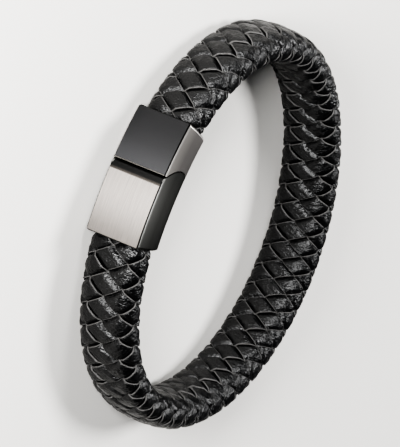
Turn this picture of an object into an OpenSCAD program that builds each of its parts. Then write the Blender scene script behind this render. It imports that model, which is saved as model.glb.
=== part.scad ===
// Braided leather bracelet: one flat oval braid of eight laces bent into a loop, its two
// ends held in the two halves of a slim magnetic clasp. The loop lies on its side, so the
// wearing axis is +Z, the clasp is towards +X and the clasp's lower side is at z = 0.

/* [Loop] */
// Mean radius of the strap's centre line
loop_r = 33.1; // [31:0.1:38]
// Oval: how far the long axis stands out, as a part of the mean radius
oval = 0.077; // [0:0.001:0.1]
// Direction of the oval's long axis, in degrees from the clasp
oval_dir = -71; // [-90:1:-40]
// Egg shape: how far its three blunt corners stand out
egg = 0.0147; // [0:0.0001:0.02]
// Direction of the first of those corners
egg_dir = 56; // [0:1:120]
// Squareness: how far its four blunt corners stand out
square_part = 0.0054; // [0:0.0001:0.01]
// Direction of the first of those corners
square_dir = 26; // [0:1:90]

/* [Strap] */
// Width of the strap, rim to rim
strap_w = 12; // [11:0.1:13]
// Thickness of the strap over the laces
strap_t = 6.8; // [6:0.1:8]
// Roundness of its section: 2 is an ellipse, more is squarer
strap_square = 2.6; // [2:0.1:4]
// Length over which the strap swells to its full size outside the clasp
swell_l = 2; // [1:0.5:8]

/* [Braid] */
// Distance from one plate of the braid to the next in the same column, on average
pitch = 4.28; // [4:0.01:5]
// Where the first crossing outside the clasp lies along the strap, from the clasp's middle
braid_start = 17; // [14:0.1:20]
// How much of the braider's uneven pace is kept, from none to all
unevenness = 1; // [0:0.1:1]
// How deep the faces dip at the points where four plates meet
node_depth = 1; // [0.3:0.05:1.2]
// How much of that depth is left on the rims
rim_part = 0.4; // [0.2:0.1:1]
// How deep the groove is halfway between those points
groove_depth = 0.5; // [0.1:0.05:0.8]
// How far a lace dives towards the ends of its plate
dive = 0.3; // [0.1:0.05:0.5]
// How far a plate is crowned across the lace
crown = 0.15; // [0:0.05:0.3]

/* [Clasp] */
// Length of the closed clasp along its curve
clasp_l = 23.1; // [22:0.1:26]
// Width of the clasp where it is widest
clasp_w = 12.5; // [12:0.1:13]
// Thickness of the clasp
clasp_t = 8.2; // [7.8:0.1:8.6]
// Radius of the clasp's curve, which is flatter than the loop's
clasp_r = 64; // [50:1:100]
// How far the sockets' middle line lies inside the strap's at the clasp's middle
clasp_in = 0.18; // [0:0.01:0.3]
// How far the outer face lies outside that line
face_out = 4; // [3.8:0.1:4.2]
// Distance from the end of the upper half to the edge of its plate at the seam
upper_l = 9.9; // [9.4:0.1:10.5]
// Radius of the bulging sides, across the clasp
side_r = 11; // [9:0.5:20]
// How far below the outer face the sides are widest
widest_d = 3.5; // [3:0.1:4]
// Radius that rounds the long edges on the wrist side
back_round = 2; // [1:0.1:2.2]
// Radius that rounds the end edges on the wrist side
end_round = 1; // [0.5:0.1:1.5]
// Radius that rounds the edges between the bulging sides and the ends
corner_round = 0.6; // [0.5:0.1:0.8]
// Size of the fine bevels round the outer face
edge_bevel = 0.2; // [0.1:0.05:0.3]
// Radius of the lower half's round tongue, which goes under the upper half's plate
tongue_r = 4.5; // [4.3:0.1:4.7]
// Where the middle of that tongue lies along the clasp
tongue_at = 0.95; // [0.7:0.05:1.2]
// How far the tongue's round would stand above the outer face, which cuts it off there
tongue_up = 0.05; // [0.02:0.01:0.1]
// Gap between the two halves
seam_gap = 0.25; // [0.15:0.01:0.3]
// Width of the socket that takes the strap's end
socket_w = 11.4; // [11:0.1:11.5]
// Height of that socket
socket_t = 6.3; // [6:0.1:6.5]
// Depth of that socket
socket_d = 6; // [4:0.5:6.5]
// Radius of its long corners
socket_round = 2.4; // [1.5:0.1:2.6]
// Clearance round the strap's end in it
socket_gap = 0.3; // [0.25:0.05:0.4]

/* [Hidden] */
$fn = 128;
leather = [0.10, 0.095, 0.095];
charcoal = [0.22, 0.22, 0.23];
gunmetal = [0.55, 0.54, 0.54];
over = 1; // how far a cutter runs past what it cuts

// The loop's radius and slope at an angle, and from them a point, its tangent and its normal
function loop_radius(a) = loop_r * (1 + oval * cos(2 * (a - oval_dir))
    + egg * cos(3 * (a - egg_dir)) + square_part * cos(4 * (a - square_dir)));
function loop_slope(a) = -loop_r * (2 * oval * sin(2 * (a - oval_dir))
    + 3 * egg * sin(3 * (a - egg_dir)) + 4 * square_part * sin(4 * (a - square_dir)));
function unit(v) = v / norm(v);
function loop_point(a) = loop_radius(a) * [cos(a), sin(a)];
function tangent(a) = unit(loop_slope(a) * [cos(a), sin(a)] + loop_radius(a) * [-sin(a), cos(a)]);
function outward(a) = let (t = tangent(a)) [t.y, -t.x];

// Length of the centre line up to each angle, from the clasp's middle once round
angle_step = 0.5;
arc_table = [for (a = 0, s = 0; a <= 360;
    s = s + norm(loop_point(a + angle_step) - loop_point(a)), a = a + angle_step) [s, a]];
loop_l = arc_table[len(arc_table) - 1][0];
function angle_at(s) = s < 0 ? lookup(s + loop_l, arc_table) - 360 : lookup(s, arc_table);

// The clasp's arc is square to the loop's outward direction at the clasp's middle
arc_dir = atan2(outward(0).y, outward(0).x);
arc_centre = loop_point(0) - outward(0) * (clasp_r + clasp_in);
function arc_angle(s) = s / clasp_r * 180 / PI;
upper_end = -clasp_l / 2;
lower_end = clasp_l / 2;
seam_at = upper_end + upper_l;
face_r = clasp_r + face_out;
back_r = face_r - clasp_t;

// Across the clasp each side is an arc, which runs into the round of its back edge. The rounds
// stand out a hair, so that they cross the sides and ends at a slight angle and don't just touch.
hair = 0.01;
side = [face_r - widest_d, clasp_w / 2 - side_r];
face_w = 2 * (side.y + sqrt(side_r * side_r - widest_d * widest_d));
corner_x = back_r + back_round;
corner = [corner_x, side.y + sqrt(pow(side_r - back_round, 2) - pow(side.x - corner_x, 2)) + hair];
side_end = side.x + (corner.x - side.x) * side_r / (side_r - back_round);

// The strap's section is a superellipse, walked by its own arc length
function bulge(x) = sign(x) * pow(abs(x), 2 / strap_square);
function steep(x) = sign(x) * pow(abs(x), strap_square - 1);
function section_point(a) = [strap_t / 2 * bulge(cos(a)), strap_w / 2 * bulge(sin(a))];
function section_normal(p) = unit([steep(2 * p.x / strap_t) / strap_t, steep(2 * p.y / strap_w) / strap_w]);
section_step = 2;
girth_table = [for (a = 0, u = 0; a <= 360;
    u = u + norm(section_point(a + section_step) - section_point(a)), a = a + section_step) [u, a]];
girth = girth_table[len(girth_table) - 1][0];
columns = 8;
function section_at(column) =
    let (turns = column / columns)
    section_point(lookup((turns - floor(turns)) * girth, girth_table));

// Laces cross at whole numbers of a and b: a counts the laces that climb one way round the
// strap and b those that climb the other way. Each plate between them is split into quarters,
// and its outer quarters are narrowed, so that the grooves stay fine.
quarters = 4;
groove_part = 0.16;
function quarter(i) = i - quarters * floor(i / quarters);
function placed_at(i) = floor(i / quarters) + [0, groove_part, 0.5, 1 - groove_part][quarter(i)];
// The lace on top runs along b where the two counts are even together, and along a elsewhere
function depth_at(i, k) =
    let (along_b = (floor(i / quarters) - floor(k / quarters)) % 2 == 0,
        along = along_b ? quarter(k) : quarter(i), across = along_b ? quarter(i) : quarter(k))
    along == 0 && across == 0 ? node_depth
    : along == 0 || across == 0
        ? (along == 2 || across == 2 ? groove_depth : (groove_depth + node_depth) / 2)
    : (along == 2 ? 0 : dive) + (across == 2 ? 0 : crown);

// The strap leaves the middle of its socket narrow and swells to its full size, its relief too
end_part = [(socket_t - 2 * socket_gap) / strap_t, (socket_w - 2 * socket_gap) / strap_w];
end_relief = 0.3;
function clamped(x) = min(max(x, 0), 1);
function swell(s) = 1 - pow(1 - clamped(min(s - lower_end, loop_l + upper_end - s) / swell_l), 3);
function mix(a, b, f) = a + (b - a) * f;

// Hand braiding drifts: how far the crossings run ahead of an even pace, by their number
pace = [
    // crossing, lead
    [-4, -1.2],
    [0, 0],
    [4, 1.4],
    [8, 1.5],
    [14, 1.1],
    [22, 0.1],
    [30, 0.9],
    [35, 0.1],
    [46, 0]
];
function braid_at(n) = braid_start + pitch * n + unevenness * lookup(n, pace);
function on_strap(s, p) = let (a = angle_at(s), o = outward(a)) [each loop_point(a) + o * p.x, p.y];
function strap_vertex(i, k) =
    let (a = placed_at(i), b = placed_at(k), s = braid_at((a + b) / 2), f = swell(s),
        p = section_at(a - b), n = section_normal(p),
        q = p - n * depth_at(i, k) * mix(1, rim_part, abs(n.y)) * mix(end_relief, 1, f))
    on_strap(s, [q.x * mix(end_part.x, 1, f), q.y * mix(end_part.y, 1, f)]);

// Rows of vertices along the strap: i + k is the row and i - k walks round the strap
around = 2 * columns;
rows_each = 2 * quarters;
tuck = socket_d - 0.8;
all_rows = [for (row = [-4 * rows_each : 46 * rows_each])
    let (s = braid_at(row / rows_each))
    if (s > lower_end - tuck && s < loop_l + upper_end + tuck) row];
first_row = min(all_rows);
last_row = max(all_rows);
rows = last_row - first_row + 1;
function shifted(row) = abs(row % 2);
function row_vertex(row, m) = let (i = (row + shifted(row)) / 2 + m) strap_vertex(i, row - i);

// The part stands on z = 0 with the middle of its box on the Z axis
outline = concat(
    [for (s = [lower_end : 1 : loop_l + upper_end]) let (a = angle_at(s))
        loop_point(a) + outward(a) * strap_t / 2],
    [for (s = [upper_end : 1 : lower_end]) let (a = arc_dir + arc_angle(s))
        arc_centre + face_r * [cos(a), sin(a)]]);
across_x = [for (p = outline) p.x];
across_y = [for (p = outline) p.y];
middle = [max(across_x) + min(across_x), max(across_y) + min(across_y)] / 2;

module placed() { translate([-middle.x, -middle.y, clasp_w / 2]) children(); }
module on_arc() { translate(arc_centre) rotate(arc_dir) children(); }
// Origin on the arc at a place along it, x outwards and y towards the lower half
module at_arc(s, r) { on_arc() rotate(arc_angle(s)) translate([r, 0, 0]) children(); }

module braided_strap() {
    skin = [for (row = [first_row : last_row], m = [0 : around - 1]) row_vertex(row, m)];
    end_points = [for (row = [first_row, last_row]) on_strap(braid_at(row / rows_each), [0, 0])];
    sides = [for (r = [0 : rows - 2], m = [0 : around - 1])
        let (here = r * around, next = here + around, m2 = (m + 1) % around)
        each shifted(first_row + r) == 1
            ? [[here + m, here + m2, next + m2], [here + m, next + m2, next + m]]
            : [[here + m, here + m2, next + m], [here + m2, next + m2, next + m]]];
    caps = [for (m = [0 : around - 1], last = [0, 1])
        let (base = last * (rows - 1) * around, m2 = (m + 1) % around, centre = len(skin) + last)
        last == 0 ? [base + m2, base + m, centre] : [base + m, base + m2, centre]];
    color(leather) placed() polyhedron(concat(skin, end_points), concat(sides, caps), convexity = 8);
}

// What a quarter round of radius r leaves of the corner at the origin
module corner_waste(r) {
    difference() {
        translate([-over, -over]) square(r + over);
        translate([r, r]) circle(r);
    }
}

// What a fine bevel takes off a corner at the origin that points along both axes
module bevel_cut() { rotate(45) translate([-edge_bevel / sqrt(2), -over]) square(2 * over); }

// Flat outer face with fine bevels, bulging sides, and back edges well rounded for the wrist
module clasp_section() {
    difference() {
        intersection() {
            translate([back_r, -clasp_w / 2]) square([clasp_t, clasp_w]);
            translate(side) circle(side_r);
            translate([side.x, -side.y]) circle(side_r);
        }
        for (turned = [0, 1]) mirror([0, turned]) {
            difference() {
                translate([back_r - over, corner.y]) square([side_end - back_r + over, clasp_w]);
                translate(corner) circle(back_round);
            }
            translate([face_r, face_w / 2]) bevel_cut();
        }
    }
}

module socket_section() {
    difference() {
        translate([clasp_r - socket_t / 2, -socket_w / 2]) square([socket_t, socket_w]);
        for (turned = [0, 1]) mirror([0, turned]) {
            translate([clasp_r - socket_t / 2, -socket_w / 2]) corner_waste(socket_round);
            translate([clasp_r + socket_t / 2, -socket_w / 2]) mirror([1, 0]) corner_waste(socket_round);
        }
    }
}

// A section swept along the clasp's arc between two places
module swept(from, to) {
    on_arc() rotate(arc_angle(from)) rotate_extrude(angle = arc_angle(to - from)) children();
}
module through() { linear_extrude(clasp_w + 2 * over, center = true) children(); }

// The whole closed clasp, its end edges rounded all the way down each bulging side
module clasp_body() {
    difference() {
        swept(upper_end, lower_end) clasp_section();
        for (end = [[upper_end, 0], [lower_end, 1]]) {
            at_arc(end[0], back_r) mirror([0, end[1], 0]) through() corner_waste(end_round);
            at_arc(end[0], face_r) mirror([0, 1 - end[1], 0]) through() bevel_cut();
            for (turned = [0, 1])
                at_arc(end[0], side.x) mirror([0, end[1], 0]) mirror([0, 0, turned])
                    translate([0, -hair, side.y]) rotate([-90, 0, 0]) rotate_extrude()
                        translate([side_r + hair, 0]) mirror([1, 0]) corner_waste(corner_round);
        }
    }
}

// All of the clasp past a place along it
module beyond(s) {
    at_arc(s, face_r) through() translate([-2 * clasp_t, 0]) square([3 * clasp_t, 2 * clasp_l]);
}

module tongue(extra) {
    at_arc(tongue_at, face_r) translate([tongue_up - tongue_r, 0, 0])
        cylinder(h = clasp_w + 2 * over, r = tongue_r + extra, center = true);
}

// Flat plate outside, hollowed under its edge where the other half's tongue goes in
module clasp_upper_half() {
    color(charcoal) placed() difference() {
        clasp_body();
        tongue(seam_gap);
        beyond(seam_at);
        at_arc(seam_at, face_r) through() bevel_cut();
        swept(upper_end - over, upper_end + socket_d) socket_section();
    }
}

module clasp_lower_half() {
    color(gunmetal) placed() difference() {
        intersection() {
            clasp_body();
            union() {
                tongue(0);
                beyond(tongue_at);
            }
        }
        swept(lower_end - socket_d, lower_end + over) socket_section();
    }
}

braided_strap();
clasp_upper_half();
clasp_lower_half();
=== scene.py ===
# %% [markdown]
# # A braided leather bracelet with a magnetic clasp
#
# Eight flat laces of black leather are braided into one oval strap. The strap is bent into a
# loop, and its ends sit in the two halves of a slim steel clasp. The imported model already
# holds the true shape of all three pieces, so this lesson starts from it. The clasp's halves
# are kept as they are and get their finishes here. The strap is made again as real laces,
# because leather that passes over and under shows edges that one solid can't give.

import math

import bmesh
import bpy
import numpy as np
from mathutils import Matrix, Vector


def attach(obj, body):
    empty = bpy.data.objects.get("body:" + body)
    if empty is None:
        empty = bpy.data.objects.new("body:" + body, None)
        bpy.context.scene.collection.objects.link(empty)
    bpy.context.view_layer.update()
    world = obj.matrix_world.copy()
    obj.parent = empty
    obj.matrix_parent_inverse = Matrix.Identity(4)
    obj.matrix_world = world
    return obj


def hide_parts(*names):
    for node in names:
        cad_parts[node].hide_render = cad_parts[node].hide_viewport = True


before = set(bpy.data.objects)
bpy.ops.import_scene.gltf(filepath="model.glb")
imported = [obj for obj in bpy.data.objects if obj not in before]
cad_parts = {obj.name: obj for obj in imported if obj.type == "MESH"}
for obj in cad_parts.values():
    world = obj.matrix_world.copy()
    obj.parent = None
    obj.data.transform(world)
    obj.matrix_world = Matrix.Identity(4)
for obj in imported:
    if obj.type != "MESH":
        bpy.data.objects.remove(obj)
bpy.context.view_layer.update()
print("packed pieces:", sorted(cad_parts))

# %% [markdown]
# ## Camera
#
# The bracelet lies on its side. A camera could be aimed with a Track To constraint, but the
# picture is also rolled by more than a quarter turn, so its three axes are worked out from
# three angles: round the bracelet, up from the floor, and the roll. The lens is a long one,
# far away, because the loop's near and far sides look almost equally large.

# %% Where the camera stands and how it is turned
MM = 0.001  # the scene is in metres, and sizes are given in millimetres
LOOP_MIDDLE = (0.256, 0.2189, 6.25)  # mm, centre of the loop's line, at half the clasp's width
AZIMUTH, ELEVATION, ROLL = 6.11, 29.37, 112.08  # degrees; azimuth 0 looks from +X
DISTANCE = 840  # mm
PAN, LIFT = -2.73, 0.77  # mm, so that the loop sits off the picture's middle


def direction(azimuth, elevation):
    """The unit vector towards an azimuth and an elevation in degrees; azimuth 0 is +X"""
    turn, rise = math.radians(azimuth), math.radians(elevation)
    return np.array([math.cos(rise) * math.cos(turn), math.cos(rise) * math.sin(turn), math.sin(rise)])


back = direction(AZIMUTH, ELEVATION)
level_right = np.cross([0, 0, 1], back)
level_right /= np.linalg.norm(level_right)
level_up = np.cross(back, level_right)
roll = math.radians(ROLL)
right = level_right * math.cos(roll) + level_up * math.sin(roll)
up = np.cross(back, right)
place = np.array(LOOP_MIDDLE) + DISTANCE * back + PAN * right + LIFT * up
print("camera at", [round(float(v)) for v in place], "mm")

# %% [markdown]
# ## The camera itself
#
# Its place and its three axes go into one matrix. Setting a location and three angles would do
# the same, but the axes are already known, and angles depend on the order they are taken in.

# %% The camera itself
SENSOR, FOCAL_LENGTH = 36, 366.3  # mm; the sensor's size is along the picture's long side
NEAREST, FARTHEST = 0.01, 20  # metres, what the camera takes in

camera = bpy.data.objects.new("camera", bpy.data.cameras.new("camera"))
bpy.context.scene.collection.objects.link(camera)
camera.data.sensor_width = SENSOR
camera.data.lens = FOCAL_LENGTH
camera.data.clip_start, camera.data.clip_end = NEAREST, FARTHEST
rows = [[right[i], up[i], back[i], place[i] * MM] for i in range(3)]
camera.matrix_world = Matrix(rows + [[0, 0, 0, 1]])
bpy.context.scene.camera = camera
print(f"the picture is {DISTANCE * SENSOR / FOCAL_LENGTH:.0f} mm long at the bracelet")

# %% [markdown]
# ## The loop's line
#
# The strap's centre line is nearly an ellipse, with a slight egg shape from the stiff clasp.
# A Bezier curve could follow it by eye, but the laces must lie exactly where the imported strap
# is. So its radius is the same sum of cosines as in the solid's source.

# %% The loop's line
LOOP_R = 33.1  # mean radius, mm
WAVES = ((2, 0.077, -71), (3, 0.0147, 56), (4, 0.0054, 26))  # waves round the loop, size, direction
NUDGE = 0.05  # degrees, half the step that gives the line's direction


def loop_point(angle):
    """A point of the line in mm from its middle, at an angle in degrees"""
    turn = np.radians(angle)
    radius = LOOP_R * (1 + sum(size * np.cos(np.radians(n * (angle - to))) for n, size, to in WAVES))
    return radius * np.array([np.cos(turn), np.sin(turn)])


def loop_ahead(angle):
    """The direction in which the line runs on, at an angle in degrees"""
    ahead = loop_point(angle + NUDGE) - loop_point(angle - NUDGE)
    return ahead / np.linalg.norm(ahead, axis=0)


print("the line runs out to", loop_point(np.array(0.0)).round(2)[0], "mm at the clasp")

# %% [markdown]
# ## Distances along the loop
#
# A braid is paced along the strap and not in degrees, so a place is given by its distance from
# the clasp's middle. Such a line's length has no simple formula. A table of short straight steps
# measures it, and looking a distance up in the table gives the angle.

# %% Distances along the loop
STEP = 0.5  # degrees
loop_angles = np.arange(-60, 420 + STEP, STEP)  # a little more than once round
steps = np.linalg.norm(np.diff(loop_point(loop_angles)), axis=0)
loop_lengths = np.concatenate([[0], np.cumsum(steps)])
loop_lengths -= np.interp(0, loop_angles, loop_lengths)
LOOP_LENGTH = float(np.interp(360, loop_angles, loop_lengths))
print(f"centre line {LOOP_LENGTH:.1f} mm round")

# %% [markdown]
# ## The strap's section
#
# Across, the strap is a rounded oblong: a superellipse between an ellipse and a rectangle.
# A scaled circle would be simpler, but the real strap is flatter on its two wide faces.

# %% The strap's section
STRAP_T, STRAP_W, SQUARENESS = 6.8, 12, 2.6  # mm thick and wide; 2 would be an ellipse
COLUMNS = 8


def power(x, n):
    """A power that keeps the sign"""
    return np.sign(x) * np.abs(x) ** n


def section_point(angle):
    """A point of the outline in mm from its middle, through the strap and across it"""
    return np.array([
        STRAP_T / 2 * power(np.cos(angle), 2 / SQUARENESS),
        STRAP_W / 2 * power(np.sin(angle), 2 / SQUARENESS)])


section_angles = np.radians(np.arange(0, 361, 1))  # a point at each degree, all round
section_steps = np.linalg.norm(np.diff(section_point(section_angles)), axis=0)
section_lengths = np.concatenate([[0], np.cumsum(section_steps)])
GIRTH = float(section_lengths[-1])
print(f"girth {GIRTH:.1f} mm, {GIRTH / COLUMNS:.2f} mm a column")

# %% [markdown]
# ## Columns round the section
#
# The laces are spread evenly round the strap, so its section is walked by its own length. Eight
# columns of plates go round: column 0 is the middle of the outer face, 2 the top rim, 4 the
# middle of the inner face and 6 the rim that rests on the floor.


# %% Columns round the section
def section(column):
    """Points of the section and their outward directions at these columns"""
    angle = np.interp(column / COLUMNS % 1 * GIRTH, section_lengths, section_angles)
    point = section_point(angle)
    out = np.array([
        power(2 * point[0] / STRAP_T, SQUARENESS - 1) / STRAP_T,
        power(2 * point[1] / STRAP_W, SQUARENESS - 1) / STRAP_W])
    return point, out / np.linalg.norm(out, axis=0)


print("column 1 lies at", section(np.array(1.0))[0].round(2), "mm")

# %% [markdown]
# ## The braid's pattern
#
# Four laces climb one way round the strap and four fall the other way. Their edges cross at
# whole numbers of two counts, a and b. A hand-braided strap isn't even: its crossings run ahead
# of an even pace and fall behind it, and the table holds that drift.

# %% The braid's pattern
LACES_EACH_WAY = COLUMNS // 2
PITCH, BRAID_START = 4.28, 17  # mm, plate to plate, and how far along crossing 0 lies
PACE = np.array([  # crossing, how far it runs ahead in mm
    [-4, -1.2], [0, 0], [4, 1.4], [8, 1.5], [14, 1.1], [22, 0.1], [30, 0.9], [35, 0.1], [46, 0]])


def braid_at(crossing):
    """Where a crossing lies, in mm along the loop"""
    return BRAID_START + PITCH * crossing + np.interp(crossing, PACE[:, 0], PACE[:, 1])


print(f"crossing 10 lies {braid_at(10):.1f} mm from the clasp's middle")

# %% [markdown]
# ## From two counts to a place on the strap
#
# A braid could be modelled straight and then bent with a Curve modifier, but near the clasp
# the strap is also squeezed to fit its sockets, and swells to its full size within a few
# millimetres. So one function takes the two counts, and how deep the leather lies, straight to
# a point in space. On the strap's rims and in the sockets the laces are pulled flatter.

# %% From two counts to a place on the strap
CLASP_HALF = 23.1 / 2  # mm, half the clasp's length
SWELL = 2  # mm from the clasp to the full size
END_T, END_W = 5.7 / STRAP_T, 10.8 / STRAP_W  # the squeezed ends, as parts of the full size
RIM_RELIEF, END_RELIEF = 0.7, 0.5  # what is left of the relief on the rims and in the sockets
RIM_THICK, END_THICK = 0.7, 0.7  # and of a lace's thickness


def fade(amount, left):
    """1 where the amount is 0, and what is left where it is 1"""
    return 1 - (1 - left) * amount


def on_strap(a, b, sunk, inside):
    """Points in mm at counts a and b, sunk by the relief and by their depth inside the lace"""
    s = braid_at((a + b) / 2)
    outside = np.minimum(s - CLASP_HALF, LOOP_LENGTH - CLASP_HALF - s)
    squeezed = (1 - np.clip(outside / SWELL, 0, 1)) ** 3  # falls fast at first, then slowly
    point, out = section(a - b)
    rim = np.abs(out[1])
    deep = sunk * fade(rim, RIM_RELIEF) * fade(squeezed, END_RELIEF)
    deep = deep + inside * fade(rim, RIM_THICK) * fade(squeezed, END_THICK)
    x, z = (point - out * deep) * np.array([fade(squeezed, END_T), fade(squeezed, END_W)])
    angle = np.interp(s, loop_lengths, loop_angles)
    centre, ahead = loop_point(angle), loop_ahead(angle)
    return np.array([
        centre[0] + ahead[1] * x + LOOP_MIDDLE[0],
        centre[1] - ahead[0] * x + LOOP_MIDDLE[1],
        z + LOOP_MIDDLE[2]])


far_side = on_strap(np.array([22.0]), np.array([22.0]), 0, 0)
print("crossing 22 lies on the far side, at", far_side[:, 0].round(1), "mm")

# %% [markdown]
# ## A lace's section
#
# A lace is a flat strip cut from hide, almost 4 mm wide and 0.7 mm thick, with a finished top
# and a cut side. Its corners are rounded a little from wear. It could be a curve with a bevel
# profile, but a curve twists by its own rules, and a lace must lie flat on the strap. So the
# section is written as points all round, which the columns of a grid will be laid on.

# %% A lace's section
LACE_WIDE = 0.99  # part of the space between two lines of crossings
LACE_THICK = 0.7  # mm
STEP_ALONG = math.hypot(PITCH / 2, GIRTH / COLUMNS)  # mm of lace from one crossing to the next
LACE_ACROSS = LACE_WIDE * PITCH * GIRTH / COLUMNS / STEP_ALONG  # mm, square to the lace's length
WORN_LIT_FROM, WORN_LIT_TO = 0.03, 0.16  # mm below the top, the corner painted grey, partly for wear and partly as a painted highlight
LACE_HALF = (  # across from the middle to the edge, and mm below the top, round half of the lace
    (0, 0), (0.2, 0), (0.4, 0), (0.6, 0), (0.8, 0), (0.9, 0.01), (0.95, WORN_LIT_FROM), (0.985, 0.09),
    (1, WORN_LIT_TO), (1, 0.28), (1, LACE_THICK - 0.1), (0.93, LACE_THICK), (0, LACE_THICK))
OTHER_HALF = tuple((-x, below) for x, below in reversed(LACE_HALF[:-1]))
lace_section = np.array(LACE_HALF + OTHER_HALF)
print(f"a lace is {LACE_ACROSS:.2f} mm wide, with {len(lace_section)} points round it")

# %% [markdown]
# ## Where the laces end
#
# The real laces are glued into the clasp. These could be cut flush with it, but then a dark
# slit would show, so each one runs on for 4 mm inside both sockets. The braid's table is read
# backwards to find those two places as counts.

# %% Where the laces end
TUCK = 4  # mm of lace inside each socket
crossings = np.arange(-6, 50, 0.1)  # a few more on both sides than the strap holds
ends = (CLASP_HALF - TUCK, LOOP_LENGTH - CLASP_HALF + TUCK)
first, last = (float(v) for v in np.interp(ends, braid_at(crossings), crossings))
print(f"braid from crossing {first:.2f} to {last:.2f}")

# %% [markdown]
# ## Small irregularities
#
# Hand-pulled laces vary a little in width, height and tilt from plate to plate. A seeded
# random generator would do, but each value would then depend on the order of the calls. A
# sine of large numbers gives a value that depends on the lace, the plate and the kind alone.


# %% Small irregularities
def ease(x):
    """0 below 0, 1 above 1, and a smooth rise between"""
    x = np.clip(x, 0, 1)
    return x * x * (3 - 2 * x)


def whim(lace, plate, kind):
    """A steady pseudo-random number between -1 and 1; its odd factors have no meaning"""
    value = np.sin(lace * 12.9898 + plate * 78.233 + kind * 37.719) * 43758.5453
    return 2 * (value - np.floor(value)) - 1


REPEAT = 2  # counts along a lace from one plate where it is on top to the next


def smooth_whim(lace, along, kind):
    """The same, eased from one plate to the next"""
    at = along / REPEAT
    low = np.floor(at)
    mixed = ease(at - low)
    return whim(lace, low, kind) * (1 - mixed) + whim(lace, low + 1, kind) * mixed


print("whims of lace 0:", [round(float(whim(0, plate, 1)), 2) for plate in range(4)])

# %% [markdown]
# ## Dents and folds
#
# Pulling the laces tight leaves shallow dents in their tops, about a millimetre across. Bump
# could draw them, but they also show in the strap's outline, so they are part of the shape.
# They come from the product of two crossed waves, and four such patterns in different
# directions hide the repeat.

# %% Dents and folds
DENTS = ((0.3, 2.3, 0.035), (1.9, 1.7, 0.03), (2.8, 1.3, 0.025), (0.9, 1.05, 0.02))  # radians, mm, mm deep
DENT_STRETCH = 1.25  # how much longer the dents are along the lace
CROSS_WAVE = 1.3  # the crossed wave's length, in lengths of the first one
LACE_SHIFT = 2.1  # radians, so that no two laces have the same dents


def dents(lace, along, across):
    """Shallow dents in mm, at mm along the lace and across it"""
    height = 0
    along = along / DENT_STRETCH
    for turn, wave, deep in DENTS:
        x = along * math.cos(turn) + across * math.sin(turn)
        y = across * math.cos(turn) - along * math.sin(turn)
        first_wave = np.sin(2 * math.pi * x / wave + LACE_SHIFT * lace)
        height = height + deep * first_wave * np.sin(2 * math.pi * y / (CROSS_WAVE * wave) + lace)
    return height


print(f"dents at most {sum(deep for turn, wave, deep in DENTS):.2f} mm deep")

# %% [markdown]
# ## Over and under
#
# On a plate the lace is on top. Between plates it dives under the lace that crosses it. The
# dive could be a plain sine, but leather lies flat on a plate and bends sharply at its ends,
# so the depth eases from 0 to its full value over a short stretch.

# %% Over and under
MIDWAY = 0.5  # a lace's middle lies halfway between two lines of crossings
DIVE, DIVE_FROM, DIVE_TO = 0.9, 0.22, 0.62  # mm, and from where to where, in counts from a plate's middle
CROWN = 0.12  # mm that a plate's edges lie lower than its middle
RISE_WHIM, TILT_WHIM = 0.05, 0.05  # mm
WIDTH_KIND, RISE_KIND, TILT_KIND = 1, 2, 3  # one series of whims for each
DENTED_TO = 0.1  # mm below the top, down to which a lace is dented


def lace_depth(number, climbs, along, across, down):
    """How deep in mm a lace lies, at counts along it, parts of its half width and mm down its side"""
    # From the middle of the nearest plate where this lace is on top: 0 there, 1 when it is under
    phase = (along - (number + MIDWAY) + (0 if climbs else 1)) % REPEAT
    away = np.minimum(phase, REPEAT - phase)
    sunk = DIVE * ease((away - DIVE_FROM) / (DIVE_TO - DIVE_FROM)) + CROWN * across**2
    sunk = sunk + RISE_WHIM * (1 + smooth_whim(number, along, RISE_KIND))
    sunk = sunk + TILT_WHIM * across * smooth_whim(number, along, TILT_KIND)
    dented = number + (LACES_EACH_WAY if climbs else 0)
    own_dents = dents(dented, along * STEP_ALONG, across * LACE_ACROSS / 2)
    return sunk + own_dents * (down < DENTED_TO)


over, under = (float(lace_depth(0, True, MIDWAY + count, 0, LACE_THICK)) for count in (0, 1))
print(f"lace 1 lies {over:.2f} mm deep on a plate and {under:.2f} mm under the next one")

# %% [markdown]
# ## From a bmesh to a piece
#
# A bmesh is only a workbench: it isn't in the scene and has no name or material. The laces, and
# later the floor, are copied from it into a mesh, which an object then puts in the scene.


# %% From a bmesh to a piece
def as_object(name, mesh):
    """Puts a finished bmesh in the scene as an object"""
    data = bpy.data.meshes.new(name)
    mesh.to_mesh(data)
    mesh.free()
    made = bpy.data.objects.new(name, data)
    bpy.context.scene.collection.objects.link(made)
    return made


# %% [markdown]
# ## One lace
#
# A lace is one closed strip. A flat grid is made with one operator: its rows are laid along
# the lace, and its columns round the lace's own section. The two long edges that meet are
# merged and the ends are filled, which closes the strip. The points on the worn corners,
# which the leather paints grey for wear and as a painted highlight, are marked in an
# attribute that the leather will read.

# %% One lace
STEPS_PER_PLATE = 18
WIDTH_WHIM = 0.03  # part of the width
MERGE = 1e-7  # metres, between points that count as one
GRID_HALF = 0.5  # half of a grid of one by one


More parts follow.
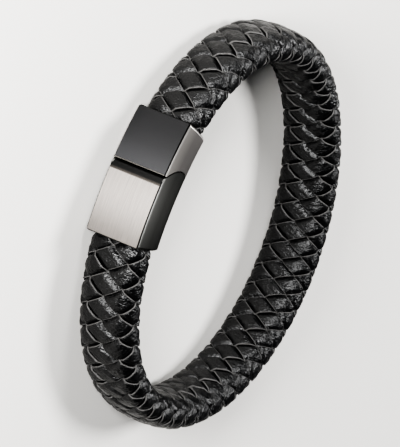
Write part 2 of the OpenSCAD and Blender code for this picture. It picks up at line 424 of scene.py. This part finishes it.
def make_lace(name, climbs, number):
    """One lace, which keeps its own count: a where it climbs and b where it falls"""
    own = number + MIDWAY
    start, end = 2 * first - own, 2 * last - own
    rows, columns = int((end - start) * STEPS_PER_PLATE), len(lace_section) - 1
    mesh = bmesh.new()
    mesh.loops.layers.uv.new("UVMap")
    bmesh.ops.create_grid(mesh, x_segments=rows, y_segments=columns, size=GRID_HALF, calc_uvs=True)
    worn_lit_layer = mesh.verts.layers.float.new("worn_lit_corner")

    flat = np.array([vertex.co[:] for vertex in mesh.verts])
    along = start + (end - start) * (flat[:, 0] + GRID_HALF)
    station = (flat[:, 1] + GRID_HALF) * columns
    across = np.interp(station, np.arange(columns + 1), lace_section[:, 0])
    down = np.interp(station, np.arange(columns + 1), lace_section[:, 1])

    half_wide = LACE_WIDE / 2 * (1 + WIDTH_WHIM * smooth_whim(number, along, WIDTH_KIND))
    beside = own + half_wide * across
    a, b = (beside, along) if climbs else (along, beside)
    points = on_strap(a, b, lace_depth(number, climbs, along, across, down), down)
    for vertex, point, below in zip(mesh.verts, points.T, down):
        vertex.co = point * MM
        vertex[worn_lit_layer] = float(WORN_LIT_FROM <= round(below, 3) <= WORN_LIT_TO)

    bmesh.ops.remove_doubles(mesh, verts=mesh.verts, dist=MERGE)
    bmesh.ops.holes_fill(mesh, edges=[edge for edge in mesh.edges if edge.is_boundary], sides=0)
    bmesh.ops.recalc_face_normals(mesh, faces=mesh.faces)
    for face in mesh.faces:
        face.smooth = True
    return as_object(name, mesh)


print("a lace has", STEPS_PER_PLATE, "rows to a plate and", len(lace_section) - 1, "columns round")

# %% [markdown]
# ## All eight laces
#
# Four climbing and four falling laces interlock, because each dives where the other is on top.
# One could be made and turned eight times, but the loop isn't round and each lace has its own
# irregularities, so all eight are made in full.

# %% All eight laces
laces = []
for number in range(LACES_EACH_WAY):
    laces.append(make_lace(f"lace_climbing_{number + 1}", True, number))
    laces.append(make_lace(f"lace_falling_{number + 1}", False, number))
print("laces:", len(laces), "with", sum(len(lace.data.polygons) for lace in laces), "faces in all")

# %% [markdown]
# ## Helpers for materials
#
# Colours are written as the sRGB hex values of any colour picker and turned to the linear
# values that the shaders need. One function adds a node: its keyword settings are the node's
# own, and its inputs are numbers or other nodes' outputs. A pattern's size is given in
# millimetres and turned to a texture's scale.


# %% Helpers for materials
def colour(hex_value):
    """An sRGB hex value as linear red, green, blue and alpha, by the standard's own formula"""
    parts = [int(hex_value[i : i + 2], 16) / 255 for i in (1, 3, 5)]
    return [c / 12.92 if c <= 0.04045 else ((c + 0.055) / 1.055) ** 2.4 for c in parts] + [1]


def new_material(name):
    """A material without any nodes yet"""
    material = bpy.data.materials.new(name)
    material.use_nodes = True
    material.node_tree.nodes.clear()
    return material


def add(material, kind, inputs=None, **settings):
    """Adds a node to the material, with its settings and with values or links for its inputs"""
    node = material.node_tree.nodes.new("ShaderNode" + kind)
    for name, value in settings.items():
        setattr(node, name, value)
    for name, value in (inputs or {}).items():
        if isinstance(value, bpy.types.NodeSocket):
            material.node_tree.links.new(value, node.inputs[name])
        else:
            node.inputs[name].default_value = value
    return node


def per_mm(size):
    """A texture scale whose features are about that many millimetres across"""
    return 1 / (size * MM)


print("the picker's mid grey is linear", round(colour("#808080")[0], 3))

# %% [markdown]
# ## Leather: places on a lace
#
# The laces are cut from vegetable-tanned cowhide, dyed through and finished black with a thin
# semi-gloss coat. Its patterns must follow each lace as it turns and dives. Object coordinates
# would cut through the laces in straight planes, so the leather reads the UV map that the grid
# gave them, stretched to the lace's real length and girth.

# %% Leather: places on a lace
lace_length = 2 * (last - first) * STEP_ALONG
lace_girth = 2 * (LACE_ACROSS + LACE_THICK)

leather = new_material("black_cowhide")  # dyed, coated hide: black, with broad soft highlights
lace_uv = add(leather, "TexCoord")
on_lace = add(leather, "Mapping", {
    "Vector": lace_uv.outputs["UV"], "Scale": (lace_length * MM, lace_girth * MM, 1)})
worn_lit_mask = add(leather, "Attribute", attribute_name="worn_lit_corner")
print(f"a lace is {lace_length:.0f} mm long and {lace_girth:.1f} mm round")

# %% [markdown]
# ## Leather: grain and creases
#
# The hide's grain is a net of rounded pebbles about 0.3 mm across, drawn out along the lace,
# and fine creases run over it. A dozen pebbles to each lace's width are too many to model, so
# both are bump. A Voronoi texture gives the pebbles: its distance grows towards the gaps, so
# its bump is turned over. A little noise bends their rows, which would look machined otherwise.

# %% Leather: grain and creases
GRAIN, CREASE, BEND = 0.32, 0.55, 0.8  # mm, sizes of the pebbles, the creases and the bends
BENT_BY = 0.5  # mm
GRAIN_STRETCH, CREASE_STRETCH = (0.7, 1, 1), (1, 0.8, 1)  # longer along the lace, longer across it
GRAIN_DEEP, CREASE_DEEP = 0.08, 0.2  # mm

drawn_out = add(leather, "Mapping", {"Vector": on_lace.outputs["Vector"], "Scale": GRAIN_STRETCH})
bends = add(leather, "TexNoise", {
    "Vector": drawn_out.outputs["Vector"], "Scale": per_mm(BEND), "Detail": 2.0})
bent = add(leather, "MixRGB", {
    "Fac": BENT_BY * MM, "Color1": drawn_out.outputs["Vector"], "Color2": bends.outputs["Color"]},
    blend_type="ADD")
grain = add(leather, "TexVoronoi", {
    "Vector": bent.outputs["Color"], "Scale": per_mm(GRAIN), "Smoothness": 0.3}, feature="SMOOTH_F1")
creased = add(leather, "Mapping", {"Vector": on_lace.outputs["Vector"], "Scale": CREASE_STRETCH})
creases = add(leather, "TexNoise", {
    "Vector": creased.outputs["Vector"], "Scale": per_mm(CREASE), "Detail": 3.0, "Roughness": 0.6})
grain_bump = add(leather, "Bump", {
    "Height": grain.outputs["Distance"], "Strength": 1.0, "Distance": -GRAIN_DEEP * MM})
crease_bump = add(leather, "Bump", {
    "Height": creases.outputs["Fac"], "Normal": grain_bump.outputs["Normal"],
    "Strength": 1.0, "Distance": CREASE_DEEP * MM})
print(f"{LACE_ACROSS / GRAIN:.0f} pebbles to a lace's width")

# %% [markdown]
# ## Leather: shine, colour and wear
#
# The coat gives broad, soft highlights, shinier where it lies thick and duller where it is
# thin, in blotches of about two millimetres. Rubbing has taken it off the laces' corners, and
# their cut edges catch the light: both are painted as thin grey lines, partly wear and partly
# painted highlight. Geometry's Pointiness could find such corners, but it changes with the
# mesh's density, so the attribute from the mesh marks them.

# %% Leather: shine, colour and wear
BLOTCH = 1.8  # mm
BLOTCH_LOW, BLOTCH_HIGH = 0.35, 0.65  # almost all of the noise lies between these
SHINY, DULL, WORN_DULLER = 0.28, 0.4, 0.3  # roughness, and what wear adds to it
# The grey of the corners is partly wear and partly a painted highlight where the cut edge catches light.
DYES, WORN_AND_HIGHLIGHT_GREY = ("#060607", "#030303"), "#464544"  # the dye took unevenly

blotches = add(leather, "TexNoise", {
    "Vector": drawn_out.outputs["Vector"], "Scale": per_mm(BLOTCH), "Detail": 3.0})
coat_shine = add(leather, "MapRange", {
    "Value": blotches.outputs["Fac"], "From Min": BLOTCH_LOW, "From Max": BLOTCH_HIGH,
    "To Min": SHINY, "To Max": DULL})
wear = add(leather, "MapRange", {"Value": worn_lit_mask.outputs["Fac"], "To Min": 0.0, "To Max": WORN_DULLER})
roughness = add(leather, "Math", {
    0: coat_shine.outputs["Result"], 1: wear.outputs["Result"]}, operation="ADD")
dye = add(leather, "MixRGB", {
    "Fac": creases.outputs["Fac"], "Color1": colour(DYES[0]), "Color2": colour(DYES[1])})
# Grey on the corners: wear, and a painted highlight of the lit cut edge.
leather_tone = add(leather, "MixRGB", {
    "Fac": worn_lit_mask.outputs["Fac"], "Color1": dye.outputs["Color"], "Color2": colour(WORN_AND_HIGHLIGHT_GREY)})
skin = add(leather, "BsdfPrincipled", {
    "Base Color": leather_tone.outputs["Color"], "Roughness": roughness.outputs["Value"], "IOR": 1.5,
    "Specular IOR Level": 0.3, "Normal": crease_bump.outputs["Normal"]})
add(leather, "OutputMaterial", {"Surface": skin.outputs["BSDF"]})
print("leather has", len(leather.node_tree.nodes), "nodes")

# %% [markdown]
# ## The laces in place of the strap
#
# Every lace gets the leather and goes with the bracelet's only body. Together they stand for
# the imported strap, which is hidden here and stays in the simulation.

# %% The laces in place of the strap
for lace in laces:
    lace.data.materials.append(leather)
    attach(lace, "root")
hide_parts("braided_strap")
print("leather on", len(laces), "laces")

# %% [markdown]
# ## The clasp's metal
#
# Both halves are cast steel with a satin plating. On the upper half the outer face is coated
# almost black; on the lower half it is brushed back to bright steel. The faces could be picked
# by hand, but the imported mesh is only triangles. So a material measures how far a point lies
# below the outer face, which is bent round an upright axis.

# %% How deep a point lies below the clasp's outer face
CLASP_R, CLASP_IN = 64, 0.18  # mm, the clasp's arc, and how far it lies inside the loop's line
FACE_OUT = 4  # mm from the arc out to the outer face
DEPTHS = 10  # mm, more than the clasp is thick

ahead = loop_ahead(np.array(0.0))
outward = np.array([ahead[1], -ahead[0]])
clasp_axis = loop_point(np.array(0.0)) - outward * (CLASP_R + CLASP_IN) + np.array(LOOP_MIDDLE[:2])
print("clasp's axis at", clasp_axis.round(2), "mm")


def from_axis(material, position):
    """The level vector from the arc's axis to a point"""
    away = add(material, "VectorMath", {0: position, 1: (*(clasp_axis * MM), 0)}, operation="SUBTRACT")
    level = add(material, "VectorMath", {0: away.outputs["Vector"], 1: (1, 1, 0)}, operation="MULTIPLY")
    return level.outputs["Vector"]


def depth_of(material, position):
    """How many millimetres a point lies below the outer face"""
    radius = add(material, "VectorMath", {0: from_axis(material, position)}, operation="LENGTH")
    shallow, deep = (CLASP_R + FACE_OUT) * MM, (CLASP_R + FACE_OUT - DEPTHS) * MM
    return add(material, "MapRange", {
        "Value": radius.outputs["Value"], "From Min": shallow, "From Max": deep,
        "To Max": DEPTHS}).outputs["Result"]


# %% [markdown]
# ## Tones by depth
#
# Face, bevel and side lie one below the other, so a list of depths and colours tells them
# apart. A tone that goes only by depth would also run round the clasp's long sides, so a second
# measure says whether a point lies between the outer face's two long edges.

# %% Tones by depth
FACE_WIDE = 10.96  # mm, between its bevels


def within_face(material, position):
    """1 between the two long edges of the outer face, 0 on the sides"""
    xyz = add(material, "SeparateXYZ", {"Vector": position})
    return add(material, "Math", {
        0: xyz.outputs["Z"], 1: LOOP_MIDDLE[2] * MM, 2: FACE_WIDE / 2 * MM},
        operation="COMPARE").outputs["Value"]


def tones(material, depth, stops):
    """Colours at given depths in mm, blended between them"""
    deepest = stops[-1][0]
    part = add(material, "MapRange", {"Value": depth, "From Max": deepest})
    ramp = add(material, "ValToRGB", {"Fac": part.outputs["Result"]})
    for at, value in stops[1:-1]:
        ramp.color_ramp.elements.new(at / deepest).color = colour(value)
    ramp.color_ramp.elements[0].color = colour(stops[0][1])
    ramp.color_ramp.elements[-1].color = colour(stops[-1][1])
    return ramp.outputs["Color"]


print(f"bevel and bulging side take {LOOP_MIDDLE[2] - FACE_WIDE / 2:.2f} mm beside the face")

# %% [markdown]
# ## The direction of the brushing
#
# Both outer faces were rubbed lengthwise before they were coated or left bare. The countless
# scratches spread a highlight across them, which is anisotropy. Its direction could come from
# a UV map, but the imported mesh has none, so it is worked out from the axis: it runs along the
# clasp's arc, and a quarter turn lays the wide highlight across.

# %% The direction of the brushing
ACROSS = 0.25  # of a turn


def along_clasp(material, position):
    """The direction along the clasp's arc"""
    level = from_axis(material, position)
    return add(material, "VectorMath", {0: (0, 0, 1), 1: level}, operation="CROSS_PRODUCT").outputs["Vector"]


print(f"the clasp bends by {math.degrees(2 * CLASP_HALF / CLASP_R):.0f} degrees from end to end")

# %% [markdown]
# ## Clasp, upper half: tones
#
# The outer face has a charcoal vapour-deposited coat. Its bevels are painted darker still, as
# painted shade for the dark that they reflect, and the one along the seam is painted pale, as a
# painted highlight. The sides are satin steel, painted lighter at the face's edge and darker
# towards the back, as painted highlight and shade. These could be four materials on picked
# faces, but then each border would follow the triangles.

# %% Clasp, upper half: tones
# The coat's own colour; the bevels' near-black tone is painted shade for the dark they reflect, the seam
# bevel's pale tone a painted highlight.
COAT, BEVEL_SHADE, SEAM_HIGHLIGHT = "#363637", "#1c1c1c", "#b9b6b2"
UPPER_SIDE_SHADE = "#757270"
HALFWAY = -6  # mm along Y, the middle of the upper half's plate; the seam lies beyond it

charcoal = new_material("charcoal_coated_steel")  # coated satin steel: dark, with a wide dim highlight
upper_place = add(charcoal, "TexCoord").outputs["Object"]
upper_depth = depth_of(charcoal, upper_place)
# Painted light on the sides: pale at the face's edge and darker towards the back, a painted highlight fading
# to painted shade.
plate_highlight_and_shade_tone = tones(charcoal, upper_depth, (
    (0, COAT), (0.03, COAT), (0.05, BEVEL_SHADE), (0.2, BEVEL_SHADE), (0.3, "#b5b2ae"), (0.7, "#8f8c88"),
    (3, UPPER_SIDE_SHADE)))
# The seam's bevel is painted pale, a painted highlight where it catches the light.
seam_highlight_tone = tones(charcoal, upper_depth, ((0, COAT), (0.03, COAT), (0.06, SEAM_HIGHLIGHT), (3, UPPER_SIDE_SHADE)))
upper_xyz = add(charcoal, "SeparateXYZ", {"Vector": upper_place})
near_seam = add(charcoal, "Math", {
    0: upper_xyz.outputs["Y"], 1: HALFWAY * MM}, operation="GREATER_THAN")
seam_edge = add(charcoal, "Math", {
    0: near_seam.outputs["Value"], 1: within_face(charcoal, upper_place)}, operation="MULTIPLY")
upper_tone = add(charcoal, "MixRGB", {
    "Fac": seam_edge.outputs["Value"], "Color1": plate_highlight_and_shade_tone, "Color2": seam_highlight_tone})
print("upper half's coat is linear", round(colour(COAT)[0], 3))

# %% [markdown]
# ## Clasp, upper half: finish
#
# Under the coat the steel has a faint grain. The real one is finer than 0.1 mm and wouldn't
# show, so it is drawn at 0.15 mm. As bump it breaks the highlight up a little, which a number
# for the roughness alone can't do.

# %% Clasp, upper half: finish
COAT_GRAIN, COAT_GRAIN_DEEP = 0.15, 0.01  # mm

coat_noise = add(charcoal, "TexNoise", {
    "Vector": upper_place, "Scale": per_mm(COAT_GRAIN), "Detail": 2.0})
coat_bump = add(charcoal, "Bump", {
    "Height": coat_noise.outputs["Fac"], "Strength": 0.25, "Distance": COAT_GRAIN_DEEP * MM})
coated = add(charcoal, "BsdfPrincipled", {
    "Base Color": upper_tone.outputs["Color"], "Metallic": 1.0, "Roughness": 0.4,
    "Anisotropic": 0.8, "Anisotropic Rotation": ACROSS,
    "Tangent": along_clasp(charcoal, upper_place), "Normal": coat_bump.outputs["Normal"]})
add(charcoal, "OutputMaterial", {"Surface": coated.outputs["BSDF"]})
print("charcoal coat has", len(charcoal.node_tree.nodes), "nodes")

# %% [markdown]
# ## Clasp, lower half: tones
#
# The outer face is brushed lengthwise with a fine abrasive belt. Each scratch is a tiny groove
# at one height, so a noise is stretched along the clasp. Real scratches are a few hundredths of
# a millimetre wide; these are drawn wider, so that they show. The sides keep a darker plating,
# painted lighter at the face's edge and darker towards the back as painted highlight and shade.
# The rounded step that goes under the upper half's plate is painted darker with depth and almost
# black, as painted shade and shadow under the plate.

# %% Clasp, lower half: tones
SCRATCH = 0.14  # mm
SCRATCH_STRETCH = (0.03, 0.03, 1)  # about 30 times longer than wide
SCRATCHED_TONES = ("#514e4c", "#79746f")
FACE_ENDS, STEP_STARTS = 0.02, 0.12  # mm deep, where the brushed face gives way to the step
# The step's black is painted shadow under the upper half's plate.
STEP_SHADOW_BLACK, STEP_STEEL = "#0a0a0a", "#56534f"

gunmetal = new_material("brushed_gunmetal_steel")  # bright lines along it, and a highlight across
lower_place = add(gunmetal, "TexCoord").outputs["Object"]
lower_depth = depth_of(gunmetal, lower_place)
drawn = add(gunmetal, "Mapping", {"Vector": lower_place, "Scale": SCRATCH_STRETCH})
scratches = add(gunmetal, "TexNoise", {
    "Vector": drawn.outputs["Vector"], "Scale": per_mm(SCRATCH), "Detail": 3.0, "Roughness": 0.7})
brushed_tone = add(gunmetal, "MixRGB", {
    "Fac": scratches.outputs["Fac"],
    "Color1": colour(SCRATCHED_TONES[0]), "Color2": colour(SCRATCHED_TONES[1])})
# Painted light on the lower half's sides: lighter at the face's edge and darker towards the back, as painted
# highlight and shade.
side_highlight_and_shade_tone = tones(gunmetal, lower_depth, (
    (0, BEVEL_SHADE), (0.2, BEVEL_SHADE), (0.3, "#7a7a78"), (0.7, "#565654"), (3, "#454543")))
# The step is painted darker with depth, almost black under the plate, as painted shade and shadow.
step_shade_tone = tones(gunmetal, lower_depth, (
    (0, "#3a3a3a"), (0.3, "#2a2a2a"), (0.9, STEP_SHADOW_BLACK), (1.5, STEP_SHADOW_BLACK), (2.5, STEP_STEEL),
    (3, STEP_STEEL)))
on_face = add(gunmetal, "MapRange", {
    "Value": lower_depth, "From Min": STEP_STARTS, "From Max": FACE_ENDS})
middle_tone = add(gunmetal, "MixRGB", {
    "Fac": on_face.outputs["Result"], "Color1": step_shade_tone, "Color2": brushed_tone.outputs["Color"]})
lower_tone = add(gunmetal, "MixRGB", {
    "Fac": within_face(gunmetal, lower_place), "Color1": side_highlight_and_shade_tone,
    "Color2": middle_tone.outputs["Color"]})
print("scratches:", round(FACE_WIDE / SCRATCH), "across the face")

# %% [markdown]
# ## Clasp, lower half: finish
#
# The same noise is the scratches' bump, so light and colour agree. It changes almost only with
# the height, so it turns the light up and down. The scratches that are too fine to draw give
# the anisotropy, a little stronger than the coated face has.

# %% Clasp, lower half: finish
SCRATCH_DEEP = 0.01  # mm

scratch_bump = add(gunmetal, "Bump", {
    "Height": scratches.outputs["Fac"], "Strength": 0.4, "Distance": SCRATCH_DEEP * MM})
brushed = add(gunmetal, "BsdfPrincipled", {
    "Base Color": lower_tone.outputs["Color"], "Metallic": 1.0, "Roughness": 0.38,
    "Anisotropic": 0.9, "Anisotropic Rotation": ACROSS,
    "Tangent": along_clasp(gunmetal, lower_place), "Normal": scratch_bump.outputs["Normal"]})
add(gunmetal, "OutputMaterial", {"Surface": brushed.outputs["BSDF"]})

for name, material in (("clasp_upper_half", charcoal), ("clasp_lower_half", gunmetal)):
    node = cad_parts[name]
    node.data.materials.clear()
    node.data.materials.append(material)
    print(name, "is", material.name)

# %% [markdown]
# ## Floor
#
# The bracelet lies on a plain pale sheet of paper, one large flat face. A sheet curved up
# behind could hide the horizon, but a long lens that looks down doesn't see it.

# %% Floor
FLOOR_HALF = 3  # metres

floor_mesh = bmesh.new()
bmesh.ops.create_grid(floor_mesh, x_segments=1, y_segments=1, size=FLOOR_HALF)
floor = as_object("floor", floor_mesh)
paper = new_material("pale_paper")  # uncoated paper: pale and matt, so it only catches the shadow
sheet = add(paper, "BsdfPrincipled", {"Base Color": colour("#cfcdc9"), "Roughness": 0.8})
add(paper, "OutputMaterial", {"Surface": sheet.outputs["BSDF"]})
floor.data.materials.append(paper)
print("floor", 2 * FLOOR_HALF, "m wide")

# %% [markdown]
# ## Light
#
# Three round softboxes and a faint even sky light the bracelet, as in a small studio. The key
# stands high behind the loop and throws the soft shadow. The front lamp stands low, under the
# camera's line of sight, and makes the leather shine. The side lamp is weak and lights the
# strap next to the clasp's upper half. One large lamp would be simpler, but black leather shows
# little more than the lamps' reflections, so each has its own place. The High Contrast look
# keeps blacks deep.

# %% Light
SKY, SKY_STRENGTH = "#b9bcc0", 0.15

world = bpy.data.worlds.new("studio")
world.use_nodes = True
background = world.node_tree.nodes["Background"]
background.inputs["Color"].default_value = colour(SKY)
background.inputs["Strength"].default_value = SKY_STRENGTH
bpy.context.scene.world = world


def softbox(name, azimuth, elevation, distance, size, power_w):
    """A round lamp facing the bracelet; angles in degrees, distance and size in metres"""
    light = bpy.data.lights.new(name, "AREA")
    light.shape, light.size, light.energy = "DISK", size, power_w
    lamp = bpy.data.objects.new(name, light)
    bpy.context.scene.collection.objects.link(lamp)
    out = direction(azimuth, elevation)
    lamp.location = out * distance
    lamp.rotation_mode = "QUATERNION"
    lamp.rotation_quaternion = Vector(out).to_track_quat("Z", "Y")
    print(f"{name} lamp, {power_w} W at {distance} m")


softbox("key", azimuth=-130, elevation=52, distance=0.8, size=0.25, power_w=10)
softbox("front", azimuth=8, elevation=17, distance=0.4, size=0.14, power_w=4.6)
softbox("side", azimuth=-50, elevation=24, distance=0.4, size=0.12, power_w=1.4)
bpy.context.scene.view_settings.look = "AgX - High Contrast"
